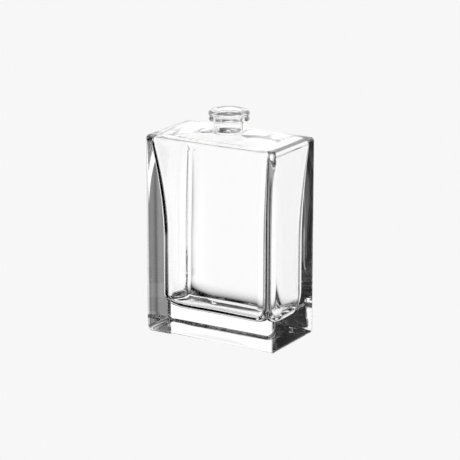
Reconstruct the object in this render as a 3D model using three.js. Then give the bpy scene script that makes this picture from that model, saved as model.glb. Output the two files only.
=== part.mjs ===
// An empty clear glass bottle for aftershave: a flat-sided rectangular body with a heavy base, a low crowned
// shoulder and a crimp neck. It is moulded in one piece, so it is one solid, open at the mouth.
// Millimetres, +Z up. The origin is the middle of the base, on the plane the bottle stands on. The front is -Y.

import * as THREE from "three";

// Driving dimensions of the body.
const WIDTH = 55.3;
const DEPTH = 30.1;
const HEIGHT = 85.3;
const SHOULDER_HEIGHT = 75.5;
const SHOULDER_CROWN = 2.2;
const SIDE_EDGE_RADIUS = 2;
const HEEL_RADIUS = 1.4;
const SHOULDER_RADIUS = 1.8;

// The bottle stands on a flat land around a shallow push-up.
const LAND_WIDTH = 2;
const PUSH_UP = { ramp: 3, depth: 0.5 };

// The crimp finish: a waist, and above it a bead and a lip with a shallow groove between them.
const NECK_ROOT_RADIUS = 7.2;
const WAIST_RADIUS = 6.2;
const BEAD_RADIUS = 7.5;
const BEAD_HEIGHT = 3.9;
const BEAD_UNDERSIDE = 0.9;
const GROOVE = { depth: 0.45, height: 2.1 };
const LIP = { outerRadius: 7.35, corner: 1 };
const MOUTH_RADIUS = 0.4;
const BORE_RADIUS = 4.7;

// The cavity, wider towards the shoulder. The left wall is thicker than the right one: the reaches are the distances
// from the axis to the right, back, left and front walls. The corners are elliptical, given as [width, depth].
const FLOOR_THICKNESS = 9.4;
const ROOF_THICKNESS = 2;
const BORE_FLARE = 1.8;
const CAVITY = {
  low: { reaches: [23.5, 10.7, 21.3, 10.7], corner: [5, 4.2] },
  top: { reaches: [24.4, 13.1, 25, 13.1], corner: [3, 2.4] },
  flareFrom: 38,
  flarePower: 1.5,
  floorRounding: { inset: 4.8, rise: 6.5 },
  roofRadius: 1.75,
};

// How finely the surface is divided.
const SIDE_STEPS = 3;
const CORNER_STEPS = 5;
const ARC_STEPS = 3;
const FLARE_STEPS = 5;
const CROWN_STEPS = 4;
const POINTS_PER_RING = 4 * (2 * SIDE_STEPS + CORNER_STEPS);
const SHARPEST_CORNER = 0.3;

const QUARTER_TURN = Math.PI / 2;
const ROOT_HEIGHT = SHOULDER_HEIGHT + SHOULDER_CROWN;
const ROOF_HEIGHT = ROOT_HEIGHT - ROOF_THICKNESS;
const ROOF_EDGE = SHOULDER_HEIGHT - ROOF_THICKNESS;
const { lerp } = THREE.MathUtils;

// A rectangle with elliptical corners, anticlockwise from the middle of its +X side, one quarter at a time. The
// reaches are the distances from the axis to the +X, +Y, -X and -Y sides.
function rectangle(reaches, corner) {
  const points = [];
  reaches.forEach((reach, quarter) => {
    const side = reaches[(quarter + 1) % 4];
    const [across, along] = quarter % 2 === 0 ? corner : [corner[1], corner[0]];
    const arc = new THREE.EllipseCurve(reach - across, side - along, across, along, 0, QUARTER_TURN);
    const before = new THREE.LineCurve(new THREE.Vector2(reach, 0), new THREE.Vector2(reach, side - along));
    const after = new THREE.LineCurve(new THREE.Vector2(reach - across, side), new THREE.Vector2(0, side));
    const outline = [
      ...before.getPoints(SIDE_STEPS).slice(0, -1),
      ...arc.getPoints(CORNER_STEPS),
      ...after.getPoints(SIDE_STEPS).slice(1, -1),
    ];
    const turn = quarter * QUARTER_TURN;
    points.push(...outline.map((point) => point.rotateAround(new THREE.Vector2(), turn)));
  });
  return points;
}

// A circle with as many points as a rectangle has, starting at the same side.
function circle(radius) {
  const turn = (i) => (2 * Math.PI * i) / POINTS_PER_RING;
  return Array.from({ length: POINTS_PER_RING }, (_, i) =>
    new THREE.Vector2(radius * Math.cos(turn(i)), radius * Math.sin(turn(i))));
}

function between(outline, other, share) {
  return outline.map((point, i) => point.clone().lerp(other[i], share));
}

function insetRectangle(reaches, corner, inset) {
  return rectangle(
    reaches.map((reach) => reach - inset),
    corner.map((size) => Math.max(size - inset, SHARPEST_CORNER)),
  );
}

function bodyOutline(inset) {
  const reaches = [WIDTH / 2, DEPTH / 2, WIDTH / 2, DEPTH / 2];
  return insetRectangle(reaches, [SIDE_EDGE_RADIUS, SIDE_EDGE_RADIUS], inset);
}

// The cavity's outline at a height, drawn in by an inset at its floor and roof.
function cavityOutline(height, inset) {
  const { low, top, flareFrom, flarePower } = CAVITY;
  const share = Math.max(0, (height - flareFrom) / (ROOF_EDGE - flareFrom)) ** flarePower;
  const reaches = low.reaches.map((reach, i) => lerp(reach, top.reaches[i], share));
  const corner = low.corner.map((size, i) => lerp(size, top.corner[i], share));
  return insetRectangle(reaches, corner, inset);
}

// The steps of an arc, as [across, up] shares of its radius, from one angle to another.
function arcSteps(from, to) {
  return Array.from({ length: ARC_STEPS + 1 }, (_, i) => {
    const angle = lerp(from, to, i / ARC_STEPS);
    return [Math.cos(angle), Math.sin(angle)];
  });
}

const ring = (outline, height) => ({ outline, height });

// From the push-up out over the land and round the heel.
function baseRings() {
  const landInside = HEEL_RADIUS + LAND_WIDTH;
  const heel = arcSteps(-QUARTER_TURN, 0).map(([across, up]) =>
    ring(bodyOutline(HEEL_RADIUS * (1 - across)), HEEL_RADIUS * (1 + up)));
  return [
    ring(bodyOutline(landInside + PUSH_UP.ramp), PUSH_UP.depth),
    ring(bodyOutline(landInside), 0),
    ...heel,
  ];
}

// Over the shoulder's rounded edge and up its crown, from a rectangle to the round root of the neck.
function shoulderRings() {
  const edge = arcSteps(0, QUARTER_TURN).map(([across, up]) =>
    ring(bodyOutline(SHOULDER_RADIUS * (1 - across)), SHOULDER_HEIGHT - SHOULDER_RADIUS * (1 - up)));
  const rim = bodyOutline(SHOULDER_RADIUS);
  const root = circle(NECK_ROOT_RADIUS);
  const crown = Array.from({ length: CROWN_STEPS }, (_, i) => {
    const share = (i + 1) / CROWN_STEPS;
    const rise = Math.sin(share * QUARTER_TURN);
    return ring(between(rim, root, share), SHOULDER_HEIGHT + SHOULDER_CROWN * rise);
  });
  return [...edge, ...crown];
}

// Up the outside of the neck: root fillet, waist, bead and lip.
function neckRings() {
  const fillet = NECK_ROOT_RADIUS - WAIST_RADIUS;
  const beadBottom = HEIGHT - BEAD_HEIGHT;
  const rootFillet = arcSteps(-QUARTER_TURN, -2 * QUARTER_TURN).slice(1).map(([across, up]) =>
    ring(circle(NECK_ROOT_RADIUS + fillet * across), ROOT_HEIGHT + fillet * (1 + up)));
  const lip = arcSteps(0, QUARTER_TURN).map(([across, up]) =>
    ring(circle(LIP.outerRadius - LIP.corner * (1 - across)), HEIGHT - LIP.corner * (1 - up)));
  return [
    ...rootFillet,
    ring(circle(WAIST_RADIUS), beadBottom - BEAD_UNDERSIDE / 2),
    ring(circle(BEAD_RADIUS), beadBottom + BEAD_UNDERSIDE),
    ring(circle(BEAD_RADIUS - GROOVE.depth), beadBottom + GROOVE.height),
    ...lip,
  ];
}

// Round the mouth, down the bore and out under the shoulder.
function boreRings() {
  const mouth = arcSteps(QUARTER_TURN, 2 * QUARTER_TURN).map(([across, up]) =>
    ring(circle(BORE_RADIUS + MOUTH_RADIUS * (1 + across)), HEIGHT - MOUTH_RADIUS * (1 - up)));
  const flare = arcSteps(2 * QUARTER_TURN, QUARTER_TURN).map(([across, up]) =>
    ring(circle(BORE_RADIUS + BORE_FLARE * (1 + across)), ROOF_HEIGHT - BORE_FLARE * (1 - up)));
  return [...mouth, ...flare];
}

// The cavity: its domed roof, the walls down to the low section and the rounded floor.
function cavityRings() {
  const { floorRounding, roofRadius, flareFrom } = CAVITY;
  const rim = cavityOutline(ROOF_EDGE, roofRadius);
  const mouth = circle(BORE_RADIUS + BORE_FLARE);
  const dome = Array.from({ length: CROWN_STEPS - 1 }, (_, i) => {
    const share = (i + 1) / CROWN_STEPS;
    return ring(between(mouth, rim, share), lerp(ROOF_HEIGHT, ROOF_EDGE, 1 - Math.cos(share * QUARTER_TURN)));
  });
  const roofCorner = arcSteps(QUARTER_TURN, 0).map(([across, up]) => {
    const height = ROOF_EDGE - roofRadius * (1 - up);
    return ring(cavityOutline(height, roofRadius * (1 - across)), height);
  });
  const flare = Array.from({ length: FLARE_STEPS }, (_, i) => {
    const height = lerp(ROOF_EDGE - roofRadius, flareFrom, (i + 1) / FLARE_STEPS);
    return ring(cavityOutline(height, 0), height);
  });
  const floor = arcSteps(0, -QUARTER_TURN).map(([across, up]) => {
    const height = FLOOR_THICKNESS + floorRounding.rise * (1 + up);
    return ring(cavityOutline(height, floorRounding.inset * (1 - across)), height);
  });
  return [...dome, ...roofCorner, ...flare, ...floor];
}

// Skins a stack of rings, with a fan closing the first and the last one.
function loft(rings) {
  const vertices = rings.flatMap(({ outline, height }) => outline.flatMap(({ x, y }) => [x, y, height]));
  const first = rings.length * POINTS_PER_RING;
  const last = first + 1;
  vertices.push(0, 0, rings[0].height, 0, 0, rings.at(-1).height);
  const index = (row, i) => row * POINTS_PER_RING + (i % POINTS_PER_RING);
  const faces = [];
  for (let i = 0; i < POINTS_PER_RING; i++) {
    faces.push(first, index(0, i + 1), index(0, i));
    for (let row = 0; row < rings.length - 1; row++) {
      faces.push(index(row, i), index(row, i + 1), index(row + 1, i + 1));
      faces.push(index(row, i), index(row + 1, i + 1), index(row + 1, i));
    }
    faces.push(index(rings.length - 1, i), index(rings.length - 1, i + 1), last);
  }
  const geometry = new THREE.BufferGeometry();
  geometry.setAttribute("position", new THREE.Float32BufferAttribute(vertices, 3));
  geometry.setIndex(faces);
  geometry.computeVertexNormals();
  return geometry;
}

function glassBottle() {
  const rings = [...baseRings(), ...shoulderRings(), ...neckRings(), ...boreRings(), ...cavityRings()];
  const glass = new THREE.MeshStandardMaterial({ color: 0xf4f6f6, roughness: 0.03, metalness: 0 });
  const bottle = new THREE.Mesh(loft(rings), glass);
  bottle.name = "glass_bottle";
  return bottle;
}

const aftershaveBottle = new THREE.Group();
aftershaveBottle.add(glassBottle());

export default aftershaveBottle;
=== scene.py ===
"""An empty clear glass aftershave bottle on a plain pale floor, in bright studio light.

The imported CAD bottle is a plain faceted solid. One finely divided glass mesh stands for it: a rounded
rectangular body with a heavy base, a crowned shoulder, a crimp neck and a blown cavity. Sizes are in
millimetres. Where each side has a value of its own, they go right (+X), back (+Y), left, front, and where
each upright edge has one, they go right back, back left, left front, front right.
"""
import math

import bpy
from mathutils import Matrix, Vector


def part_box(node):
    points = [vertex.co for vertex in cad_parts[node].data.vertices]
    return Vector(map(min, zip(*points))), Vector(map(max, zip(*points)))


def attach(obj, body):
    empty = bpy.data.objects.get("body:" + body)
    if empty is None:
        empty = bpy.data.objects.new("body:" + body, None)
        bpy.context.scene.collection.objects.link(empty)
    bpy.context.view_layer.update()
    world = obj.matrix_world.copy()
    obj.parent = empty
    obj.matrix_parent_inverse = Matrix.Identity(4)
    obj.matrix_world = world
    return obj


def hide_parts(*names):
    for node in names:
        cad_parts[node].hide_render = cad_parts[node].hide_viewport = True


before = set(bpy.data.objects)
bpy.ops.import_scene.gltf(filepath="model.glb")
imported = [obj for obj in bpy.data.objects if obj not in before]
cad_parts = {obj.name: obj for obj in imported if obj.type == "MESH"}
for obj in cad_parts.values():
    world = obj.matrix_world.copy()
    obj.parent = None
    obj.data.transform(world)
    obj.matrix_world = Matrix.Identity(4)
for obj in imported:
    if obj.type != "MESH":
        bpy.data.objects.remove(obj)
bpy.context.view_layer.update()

MM = 0.001
QUARTER_TURN = math.pi / 2

# The CAD box gives the outer sizes.
HALF_WIDTH, HALF_DEPTH, HEIGHT = (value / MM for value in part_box("glass_bottle")[1])
NECK_HEIGHT = 9.8
SHOULDER_HEIGHT = HEIGHT - NECK_HEIGHT

# Outside of the body. A sag is how far a side falls back from its middle to its ends, and a negative one is
# a hollow side. The crown's powers shape how the shoulder falls off, across and from front to back.
EDGE_RADII = (1.13, 2.06, 1.83, 2.25)
BODY_SAGS = (0.01, 0.05, 0.24, -0.1)
HEEL_RADIUS = 1.68
SHOULDER_RADII = (1.71, 1.07, 1.18, 3.47)
SHOULDER_CROWN = 2.58
CROWN_POWERS = (0.75, 0.97)
PUSH_UP_DEPTH = 0.48
LAND_WIDTH = 1.0

# Neck. The bead, the groove and the lip are arcs of its section, each with its centre's radius, the centre's
# drop below the top, and the arc's own radius. The fillet under the bead is so many bead radii below it.
WAIST_RADIUS = 6.18
ROOT_FILLET = 0.94
ROOT_RISE = 1.59
ROOT_MARGIN = 0.2
UNDER_BEAD_FILLET = 0.45
UNDER_BEAD_DROP = 1.5
BEAD = (6.86, 3.31, 0.62)
GROOVE = (7.48, 1.81, 0.61)
LIP = (6.4, 1.2, 1.2)
MOUTH_RADIUS = 0.34
BORE_RADIUS = 4.78
BORE_TAPER = -0.26
BORE_LENGTH = 8.6
BORE_FLARE_POWER = 2.25

# Cavity. A section is the reach from the axis to each side, the (width, depth) of the elliptical corner at
# each edge, and each side's sag. The cavity widens from the low section to the top one.
LOW_SECTION = (
    (23.56, 10.72, 21.25, 10.78),
    ((5.08, 4.76), (7.36, 5.37), (5.24, 2.97), (3.87, 5.65)),
    (0.03, 0.03, -0.34, -0.36),
)
TOP_SECTION = (
    (24.52, 13.11, 25.7, 13.17),
    ((0.8, 0.8), (3.83, 0.8), (3.77, 1.21), (2.6, 1.7)),
    (0.0, 0.0, 0.0, 0.0),
)
SHARPEST_CORNER = 0.3
FLARE_FROM = 38.34
FLARE_POWER = 1.62
ROOF_DROP = 1.51
ROOF_RADIUS = 1.95
ROOF_THICKNESS = 2.63
FLOOR_THICKNESS = 9.22
FLOOR_BOWL = 0.88
FLOOR_CORNER_SHRINK = 0.11
FLOOR_INSETS = (3.28, 5.22, 6.09, 3.83)
FLOOR_RISES = (6.72, 8.58, 5.09, 4.8)

# How finely the glass is divided. Every flat stretch has its last row of points just before a rounding, at
# the support distance, so that the rounding's smooth shading doesn't spread over it.
SIDE_STEPS = 8
CORNER_STEPS = 12
RING_SIZE = 4 * (2 * SIDE_STEPS + CORNER_STEPS + 2)
PUSH_UP_STEPS = 9
ARC_STEPS = 10
RISE_STEPS = 10
SHOULDER_STEPS = 14
CROWN_STEPS = 16
BORE_STEPS = 4
WALL_STEPS = 30
FLOOR_STEPS = 24
BOWL_STEPS = 12
SUPPORT = 0.06

# Surface of the glass. The haze sets in at the first value of its noise's range and is full at the second.
GLASS_IOR = 1.52
HAZE = 0.03
HAZE_SIZE = 12.0
HAZE_RANGE = (0.5, 0.75)
WAVE_HEIGHT = 0.012
WAVE_SIZE = 14.0

# Studio. A card is where light is seen, in degrees: its azimuth from +Y towards +X, half its width and how
# soft its sides are, its lowest and highest elevation and how soft those ends are, and then its strength.
PALE = 0.9301
BACK_CARD = (-23, 45, 33, -47, 39, 40, 1.15)
SIDE_CARD = (43, 11, 10, -50, 20, 20, 0.31)
FRONT_CARD = (135, 30, 16, -40, -3, 10, 1.0)
LEFT_CARD = (-92, 22, 10, -15, 10, 8, 1.0)
RIGHT_CARD = (92, 14, 10, -15, 10, 8, 0.95)
UNDER_CARD = (0, 200, 1, -120, -70, 10, 0.95)
CARDS = (BACK_CARD, SIDE_CARD, FRONT_CARD, LEFT_CARD, RIGHT_CARD, UNDER_CARD)
FLOOR_REACH = 1500.0
FLOOR_GAP = 0.05

# Camera. It looks at a point near the axis, and the view shift moves that point to the picture's right.
CAMERA_AZIMUTH = math.radians(31.4)
CAMERA_ELEVATION = math.radians(15.95)
IMAGE_PX = 460
FOCAL_PX = 2180
PX_PER_MM = 2.7024
SENSOR = 36
TARGET_X = -0.1
TARGET_HEIGHT = 39.7
VIEW_SHIFT = 0.385
CLIP_END = 10000.0

LIGHT_BOUNCES = 32
GLOSS_BOUNCES = 16


def smooth(share):
    """From 0 to 1 with a level start and end."""
    share = min(max(share, 0.0), 1.0)
    return share * share * (3 - 2 * share)


def mix(a, b, share):
    return a + (b - a) * share


def blend(inner, outer, share):
    """The outline that is a share of the way from one outline to another."""
    return [(mix(a[0], b[0], share), mix(a[1], b[1], share)) for a, b in zip(inner, outer)]


def sweep(share):
    """Half a cosine wave from 0 to 1, which the bow of a side follows."""
    return (1 - math.cos(math.pi * share)) / 2


def drawn_in(sizes, angle):
    """How far in each side's rounding has come when its arc has turned by an angle."""
    return [size * (1 - math.cos(angle)) for size in sizes]


def rounded_rectangle(reaches, corners, sags):
    """A rectangle with elliptical corners as points, anticlockwise from the middle of its +X side."""
    points = []
    for quarter, corner in enumerate(corners):
        reach, side = reaches[quarter], reaches[(quarter + 1) % 4]
        sag, side_sag = sags[quarter], sags[(quarter + 1) % 4]
        across, along = corner if quarter % 2 == 0 else corner[::-1]
        middle_x, middle_y = reach - sag - across, side - side_sag - along
        local = []
        for i in range(SIDE_STEPS + 1):
            share = i / SIDE_STEPS * (1 - SUPPORT / middle_y)
            local.append((reach - sag * sweep(share), middle_y * share))
        for i in range(CORNER_STEPS + 1):
            angle = QUARTER_TURN * i / CORNER_STEPS
            local.append((middle_x + across * math.cos(angle), middle_y + along * math.sin(angle)))
        for i in range(SIDE_STEPS):
            share = (1 - i / SIDE_STEPS) * (1 - SUPPORT / middle_x)
            local.append((middle_x * share, side - side_sag * sweep(share)))
        for x, y in local:
            for _ in range(quarter):
                x, y = -y, x
            points.append((x, y))
    return points


def circle(radius):
    """A circle with as many points as a rounded rectangle has, starting at the same side."""
    turns = [2 * math.pi * i / RING_SIZE for i in range(RING_SIZE)]
    return [(radius * math.cos(turn), radius * math.sin(turn)) for turn in turns]


def inset_outline(section, insets, corner_shrink=1.0):
    """A section's outline drawn in by an inset on each side, its corners shrinking by a share of that."""
    reaches, corners, sags = section
    reaches = [reach - inset for reach, inset in zip(reaches, insets)]
    means = [(insets[i] + insets[(i + 1) % 4]) / 2 for i in range(4)]
    corners = [[max(size - inset * corner_shrink, SHARPEST_CORNER) for size in corner]
               for corner, inset in zip(corners, means)]
    return rounded_rectangle(reaches, corners, sags)


def body_outline(insets):
    halves = [HALF_WIDTH, HALF_DEPTH] * 2
    reaches = [half + min(sag, 0) for half, sag in zip(halves, BODY_SAGS)]
    corners = [(radius, radius) for radius in EDGE_RADII]
    return inset_outline((reaches, corners, BODY_SAGS), insets)


def blend_round(outline, sizes):
    """A size for each point of an outline: each side has its own, and they blend round the corners."""
    blended = []
    for i in range(RING_SIZE):
        before, after = outline[i - 1], outline[(i + 1) % RING_SIZE]
        out_x, out_y = after[1] - before[1], before[0] - after[0]
        width = sizes[0] if out_x > 0 else sizes[2]
        depth = sizes[1] if out_y > 0 else sizes[3]
        blended.append((width * out_x * out_x + depth * out_y * out_y) / (out_x * out_x + out_y * out_y))
    return blended


def crown_height(x, y):
    """The height of the crowned shoulder, which falls to the shoulder's edge on all four sides."""
    rims = drawn_in(SHOULDER_RADII, QUARTER_TURN)
    across = x / (HALF_WIDTH - (rims[0] if x > 0 else rims[2]))
    along = y / (HALF_DEPTH - (rims[1] if y > 0 else rims[3]))
    rise = max(1 - across * across, 0) ** CROWN_POWERS[0] * max(1 - along * along, 0) ** CROWN_POWERS[1]
    return SHOULDER_HEIGHT + SHOULDER_CROWN * rise


def level(outline, z):
    return [(x, y, z) for x, y in outline]


def base_rings():
    """From the push-up out over the land and round the heel."""
    inside = body_outline([HEEL_RADIUS + LAND_WIDTH] * 4)
    rings = []
    for i in range(1, PUSH_UP_STEPS):
        share = i / PUSH_UP_STEPS
        rings.append(level([(x * share, y * share) for x, y in inside], PUSH_UP_DEPTH * smooth(1 - share)))
    rings.append(level(inside, 0))
    rings.append(level(body_outline([HEEL_RADIUS + SUPPORT] * 4), 0))
    for i in range(ARC_STEPS + 1):
        angle = QUARTER_TURN * (i / ARC_STEPS - 1)
        outline = body_outline(drawn_in([HEEL_RADIUS] * 4, angle))
        rings.append(level(outline, HEEL_RADIUS * (1 + math.sin(angle))))
    return rings


def side_rings():
    """Up the sides and over the shoulder's edge, where each side has its own radius."""
    outline = body_outline([0] * 4)
    radii = blend_round(outline, SHOULDER_RADII)
    low = HEEL_RADIUS + SUPPORT
    rings = []
    for i in range(RISE_STEPS + 1):
        rings.append([(x, y, mix(low, SHOULDER_HEIGHT - radius - SUPPORT, i / RISE_STEPS))
                      for (x, y), radius in zip(outline, radii)])
    for i in range(SHOULDER_STEPS + 1):
        angle = QUARTER_TURN * i / SHOULDER_STEPS
        outline = body_outline(drawn_in(SHOULDER_RADII, angle))
        rings.append([(x, y, SHOULDER_HEIGHT - radius * (1 - math.sin(angle)))
                      for (x, y), radius in zip(outline, radii)])
    return rings


def crown_rings():
    """Over the crowned shoulder, from its rectangular rim to the round foot of the neck."""
    rim = body_outline(drawn_in(SHOULDER_RADII, QUARTER_TURN))
    root = circle(WAIST_RADIUS + ROOT_FILLET + ROOT_MARGIN)
    rings = []
    for i in range(1, CROWN_STEPS + 1):
        rings.append([(x, y, crown_height(x, y)) for x, y in blend(rim, root, i / CROWN_STEPS)])
    return rings


def arc(centre, radius, start, end, steps):
    """Points (radius, height) of a circular arc in the neck's section, angles in degrees."""
    angles = [math.radians(mix(start, end, i / steps)) for i in range(steps + 1)]
    return [(centre[0] + radius * math.cos(a), centre[1] + radius * math.sin(a)) for a in angles]


def neck_profile():
    """Half the neck's section, as (radius, height), from the root fillet over the lip and down the bore."""
    root = SHOULDER_HEIGHT + ROOT_RISE
    below_bead = HEIGHT - BEAD[1] - BEAD[2] * UNDER_BEAD_DROP
    mouth = BORE_RADIUS + BORE_TAPER + MOUTH_RADIUS
    profile = arc((WAIST_RADIUS + ROOT_FILLET, root + ROOT_FILLET), ROOT_FILLET, 265, 180, 10)
    profile += arc((WAIST_RADIUS + UNDER_BEAD_FILLET, below_bead), UNDER_BEAD_FILLET, 180, 110, 6)
    profile += arc((BEAD[0], HEIGHT - BEAD[1]), BEAD[2], -75, 45, 12)
    profile += arc((GROOVE[0], HEIGHT - GROOVE[1]), GROOVE[2], 225, 150, 6)
    profile += arc((LIP[0], HEIGHT - LIP[1]), LIP[2], -28, 90, 16)
    profile += arc((mouth, HEIGHT - MOUTH_RADIUS), MOUTH_RADIUS, 90, 180, 7)
    for i in range(1, BORE_STEPS + 1):
        share = i / BORE_STEPS
        height = mix(HEIGHT - MOUTH_RADIUS, HEIGHT - BORE_LENGTH, share)
        profile.append((BORE_RADIUS + BORE_TAPER * (1 - share), height))
    return profile


def neck_rings():
    """The root fillet follows the crowned shoulder at its foot and is level at the waist."""
    rings = []
    root = SHOULDER_HEIGHT + ROOT_RISE
    for radius, height in neck_profile():
        outline = circle(radius)
        if radius > WAIST_RADIUS and height < root + ROOT_FILLET:
            share = smooth((height - root) / ROOT_FILLET)
            rings.append([(x, y, mix(crown_height(x, y) + height - root, height, share)) for x, y in outline])
        else:
            rings.append(level(outline, height))
    return rings


def cavity_share(z):
    """How far the cavity has widened at a height, from its low section to its top one."""
    edge = SHOULDER_HEIGHT - ROOF_DROP
    return (min(max(z - FLARE_FROM, 0), edge - FLARE_FROM) / (edge - FLARE_FROM)) ** FLARE_POWER


def cavity_outline(z, insets, shrink=1.0):
    low = inset_outline(LOW_SECTION, insets, shrink)
    top = inset_outline(TOP_SECTION, insets, shrink)
    return blend(low, top, cavity_share(z))


def roof_rings():
    """From the bore out under the crowned shoulder and round the roof's edge."""
    edge = SHOULDER_HEIGHT - ROOF_DROP
    bore = circle(BORE_RADIUS)
    rim = cavity_outline(edge, [ROOF_RADIUS] * 4)
    rings = []
    for i in range(1, CROWN_STEPS + 1):
        share = i / CROWN_STEPS
        flare = (1 - share) ** BORE_FLARE_POWER
        drop = mix(ROOF_THICKNESS, ROOF_DROP, share)
        rings.append([(x, y, mix(crown_height(x, y) - drop, HEIGHT - BORE_LENGTH, flare))
                      for x, y in blend(bore, rim, share)])
    for i in range(1, ARC_STEPS + 1):
        angle = QUARTER_TURN * (1 - i / ARC_STEPS)
        z = edge - ROOF_RADIUS * (1 - math.sin(angle))
        rings.append(level(cavity_outline(z, drawn_in([ROOF_RADIUS] * 4, angle)), z))
    return rings


def wall_rings():
    """Down the walls, from under the roof to where the floor's rounding starts."""
    roof_end = SHOULDER_HEIGHT - ROOF_DROP - ROOF_RADIUS
    low_outline = inset_outline(LOW_SECTION, [0] * 4)
    top_outline = inset_outline(TOP_SECTION, [0] * 4)
    rises = blend_round(low_outline, FLOOR_RISES)
    rings = []
    for i in range(1, WALL_STEPS + 1):
        ring = []
        for rise, low, top in zip(rises, low_outline, top_outline):
            z = mix(roof_end, FLOOR_THICKNESS + FLOOR_BOWL + rise, i / WALL_STEPS)
            share = cavity_share(z)
            ring.append((mix(low[0], top[0], share), mix(low[1], top[1], share), z))
        rings.append(ring)
    return rings


def floor_rings(starts):
    """Round the floor's edge from the last ring of the walls, and over its shallow bowl to the middle."""
    rings = []
    for i in range(1, FLOOR_STEPS + 1):
        angle = QUARTER_TURN * i / FLOOR_STEPS
        outline = cavity_outline(FLOOR_THICKNESS, drawn_in(FLOOR_INSETS, angle), FLOOR_CORNER_SHRINK)
        rings.append([(x, y, start[2] - (start[2] - FLOOR_THICKNESS - FLOOR_BOWL) * math.sin(angle))
                      for (x, y), start in zip(outline, starts)])
    rim = rings[-1]
    for i in range(1, BOWL_STEPS):
        left = 1 - i / BOWL_STEPS
        rings.append([(x * left, y * left, mix(FLOOR_THICKNESS, z, left ** 2)) for x, y, z in rim])
    return rings


def bottle_rings():
    """The whole skin of the glass, from the middle of the base to the middle of the cavity's floor."""
    outside = base_rings() + side_rings() + crown_rings() + neck_rings()
    walls = wall_rings()
    return outside + roof_rings() + walls + floor_rings(walls[-1])


def new_object(name, data):
    thing = bpy.data.objects.new(name, data)
    bpy.context.collection.objects.link(thing)
    return thing


def loft(name, rings):
    """One closed smooth mesh through the rings, with a fan over the first and the last one."""
    vertices = [tuple(value * MM for value in point) for ring in rings for point in ring]
    vertices += [(0, 0, rings[0][0][2] * MM), (0, 0, rings[-1][0][2] * MM)]
    first_middle = len(rings) * RING_SIZE
    last_middle = first_middle + 1
    last_ring = first_middle - RING_SIZE
    faces = []
    for i in range(RING_SIZE):
        j = (i + 1) % RING_SIZE
        faces.append((first_middle, j, i))
        for ring in range(0, last_ring, RING_SIZE):
            after = ring + RING_SIZE
            faces.append((ring + i, ring + j, after + j, after + i))
        faces.append((last_ring + i, last_ring + j, last_middle))
    mesh = bpy.data.meshes.new(name)
    mesh.from_pydata(vertices, [], faces)
    mesh.validate()
    for polygon in mesh.polygons:
        polygon.use_smooth = True
    return new_object(name, mesh)


def noise(nodes, links, coordinates, size, detail):
    texture = nodes.new("ShaderNodeTexNoise")
    texture.inputs["Scale"].default_value = 1 / (size * MM)
    texture.inputs["Detail"].default_value = detail
    links.new(coordinates, texture.inputs["Vector"])
    return texture.outputs["Fac"]


def clear_glass():
    """Colourless moulded glass: faint broad waves in its surface, and a little haze from handling."""
    material = bpy.data.materials.new("clear_glass")
    material.use_nodes = True
    nodes, links = material.node_tree.nodes, material.node_tree.links
    shader = nodes["Principled BSDF"]
    shader.inputs["Base Color"].default_value = (1, 1, 1, 1)
    shader.inputs["Transmission Weight"].default_value = 1
    shader.inputs["IOR"].default_value = GLASS_IOR
    place = nodes.new("ShaderNodeTexCoord").outputs["Object"]
    haze = nodes.new("ShaderNodeMapRange")
    haze.inputs["From Min"].default_value = HAZE_RANGE[0]
    haze.inputs["From Max"].default_value = HAZE_RANGE[1]
    haze.inputs["To Min"].default_value = 0.0
    haze.inputs["To Max"].default_value = HAZE
    links.new(noise(nodes, links, place, HAZE_SIZE, detail=3), haze.inputs["Value"])
    links.new(haze.outputs["Result"], shader.inputs["Roughness"])
    waves = nodes.new("ShaderNodeBump")
    waves.inputs["Distance"].default_value = WAVE_HEIGHT * MM
    links.new(noise(nodes, links, place, WAVE_SIZE, detail=1), waves.inputs["Height"])
    links.new(waves.outputs["Normal"], shader.inputs["Normal"])
    return material


def pale_floor():
    """A plain floor that only the camera sees, so that it neither shades the glass nor shows in it."""
    mesh = bpy.data.meshes.new("floor")
    reach = FLOOR_REACH * MM
    corners = [(x * reach, y * reach, -FLOOR_GAP * MM) for x, y in ((-1, -1), (1, -1), (1, 1), (-1, 1))]
    mesh.from_pydata(corners, [], [(0, 1, 2, 3)])
    floor = new_object("floor", mesh)
    material = bpy.data.materials.new("pale_floor")
    material.use_nodes = True
    nodes, links = material.node_tree.nodes, material.node_tree.links
    nodes.clear()
    glow = nodes.new("ShaderNodeEmission")
    glow.inputs["Color"].default_value = (PALE, PALE, PALE, 1)
    links.new(glow.outputs[0], nodes.new("ShaderNodeOutputMaterial").inputs["Surface"])
    mesh.materials.append(material)
    for kind in ("diffuse", "glossy", "transmission", "shadow", "volume_scatter"):
        setattr(floor, "visible_" + kind, False)


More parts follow.
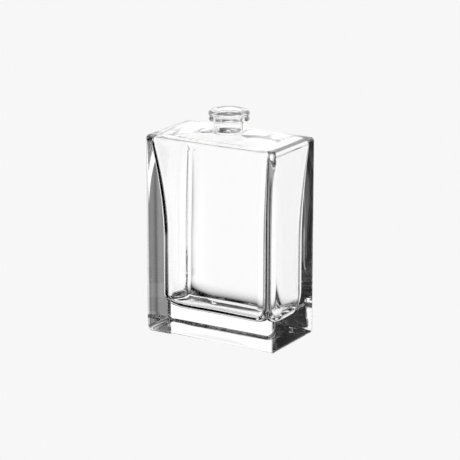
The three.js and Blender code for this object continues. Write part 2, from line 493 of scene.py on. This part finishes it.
class Studio:
    """The world: the glass sees a set of soft cards, and what the camera sees directly is plain and pale."""

    def __init__(self):
        world = bpy.data.worlds.new("studio")
        bpy.context.scene.world = world
        world.use_nodes = True
        world.cycles.sampling_method = "NONE"
        self.nodes, self.links = world.node_tree.nodes, world.node_tree.links
        self.nodes.clear()
        self.direction = self.nodes.new("ShaderNodeTexCoord").outputs["Generated"]

    def math(self, operation, a, b=0.0):
        node = self.nodes.new("ShaderNodeMath")
        node.operation = operation
        for socket, value in zip(node.inputs, (a, b)):
            if isinstance(value, (int, float)):
                socket.default_value = value
            else:
                self.links.new(value, socket)
        return node.outputs[0]

    def degrees(self, angle):
        return self.math("MULTIPLY", angle, 180 / math.pi)

    def fade(self, value, start, end):
        """0 before start, 1 after end, smooth between; start may be the larger one."""
        node = self.nodes.new("ShaderNodeMapRange")
        node.interpolation_type = "SMOOTHSTEP"
        self.links.new(value, node.inputs["Value"])
        node.inputs["From Min"].default_value = start
        node.inputs["From Max"].default_value = end
        return node.outputs["Result"]

    def card(self, azimuth, half_width, soft_side, low, high, soft_end, strength):
        turned = self.nodes.new("ShaderNodeVectorRotate")
        turned.rotation_type = "Z_AXIS"
        turned.inputs["Angle"].default_value = math.radians(azimuth)
        self.links.new(self.direction, turned.inputs["Vector"])
        split = self.nodes.new("ShaderNodeSeparateXYZ")
        self.links.new(turned.outputs[0], split.inputs[0])
        across = self.math("ABSOLUTE", self.math("ARCTAN2", split.outputs["X"], split.outputs["Y"]))
        across = self.degrees(across)
        up = self.degrees(self.math("ARCSINE", split.outputs["Z"]))
        shade = self.fade(across, half_width + soft_side / 2, half_width - soft_side / 2)
        shade = self.math("MULTIPLY", shade, self.fade(up, low - soft_end / 2, low + soft_end / 2))
        shade = self.math("MULTIPLY", shade, self.fade(up, high + soft_end / 2, high - soft_end / 2))
        return self.math("MULTIPLY", shade, strength)

    def finish(self, cards):
        """Lights each direction by its brightest card, and shows the camera itself only the pale tone."""
        total = cards[0]
        for card in cards[1:]:
            total = self.math("MAXIMUM", total, card)
        seen = self.nodes.new("ShaderNodeLightPath").outputs["Is Camera Ray"]
        glow, pale = self.nodes.new("ShaderNodeBackground"), self.nodes.new("ShaderNodeBackground")
        self.links.new(total, glow.inputs["Color"])
        pale.inputs["Color"].default_value = (PALE, PALE, PALE, 1)
        mixer = self.nodes.new("ShaderNodeMixShader")
        output = self.nodes.new("ShaderNodeOutputWorld")
        self.links.new(seen, mixer.inputs[0])
        self.links.new(glow.outputs[0], mixer.inputs[1])
        self.links.new(pale.outputs[0], mixer.inputs[2])
        self.links.new(mixer.outputs[0], output.inputs["Surface"])


def camera():
    """A long lens at the photograph's viewing angle, at the distance that gives its scale."""
    data = bpy.data.cameras.new("camera")
    data.sensor_width = SENSOR
    data.lens = SENSOR * FOCAL_PX / IMAGE_PX
    data.clip_end = CLIP_END * MM
    thing = new_object("camera", data)
    back = Vector((
        math.sin(CAMERA_AZIMUTH) * math.cos(CAMERA_ELEVATION),
        -math.cos(CAMERA_AZIMUTH) * math.cos(CAMERA_ELEVATION),
        math.sin(CAMERA_ELEVATION),
    ))
    target = Vector((
        (TARGET_X + VIEW_SHIFT * math.cos(CAMERA_AZIMUTH)) * MM,
        VIEW_SHIFT * math.sin(CAMERA_AZIMUTH) * MM,
        TARGET_HEIGHT * MM,
    ))
    thing.location = target + back * (FOCAL_PX / PX_PER_MM) * MM
    thing.rotation_euler = (-back).to_track_quat("-Z", "Y").to_euler()
    bpy.context.scene.camera = thing


bottle = loft("bottle_glass", bottle_rings())
bottle.data.materials.append(clear_glass())
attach(bottle, "root")
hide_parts("glass_bottle")

pale_floor()
studio = Studio()
studio.finish([studio.card(*card) for card in CARDS])
camera()
scene = bpy.context.scene
scene.view_settings.view_transform = "Standard"
scene.cycles.max_bounces = LIGHT_BOUNCES
scene.cycles.transmission_bounces = LIGHT_BOUNCES
scene.cycles.glossy_bounces = GLOSS_BOUNCES
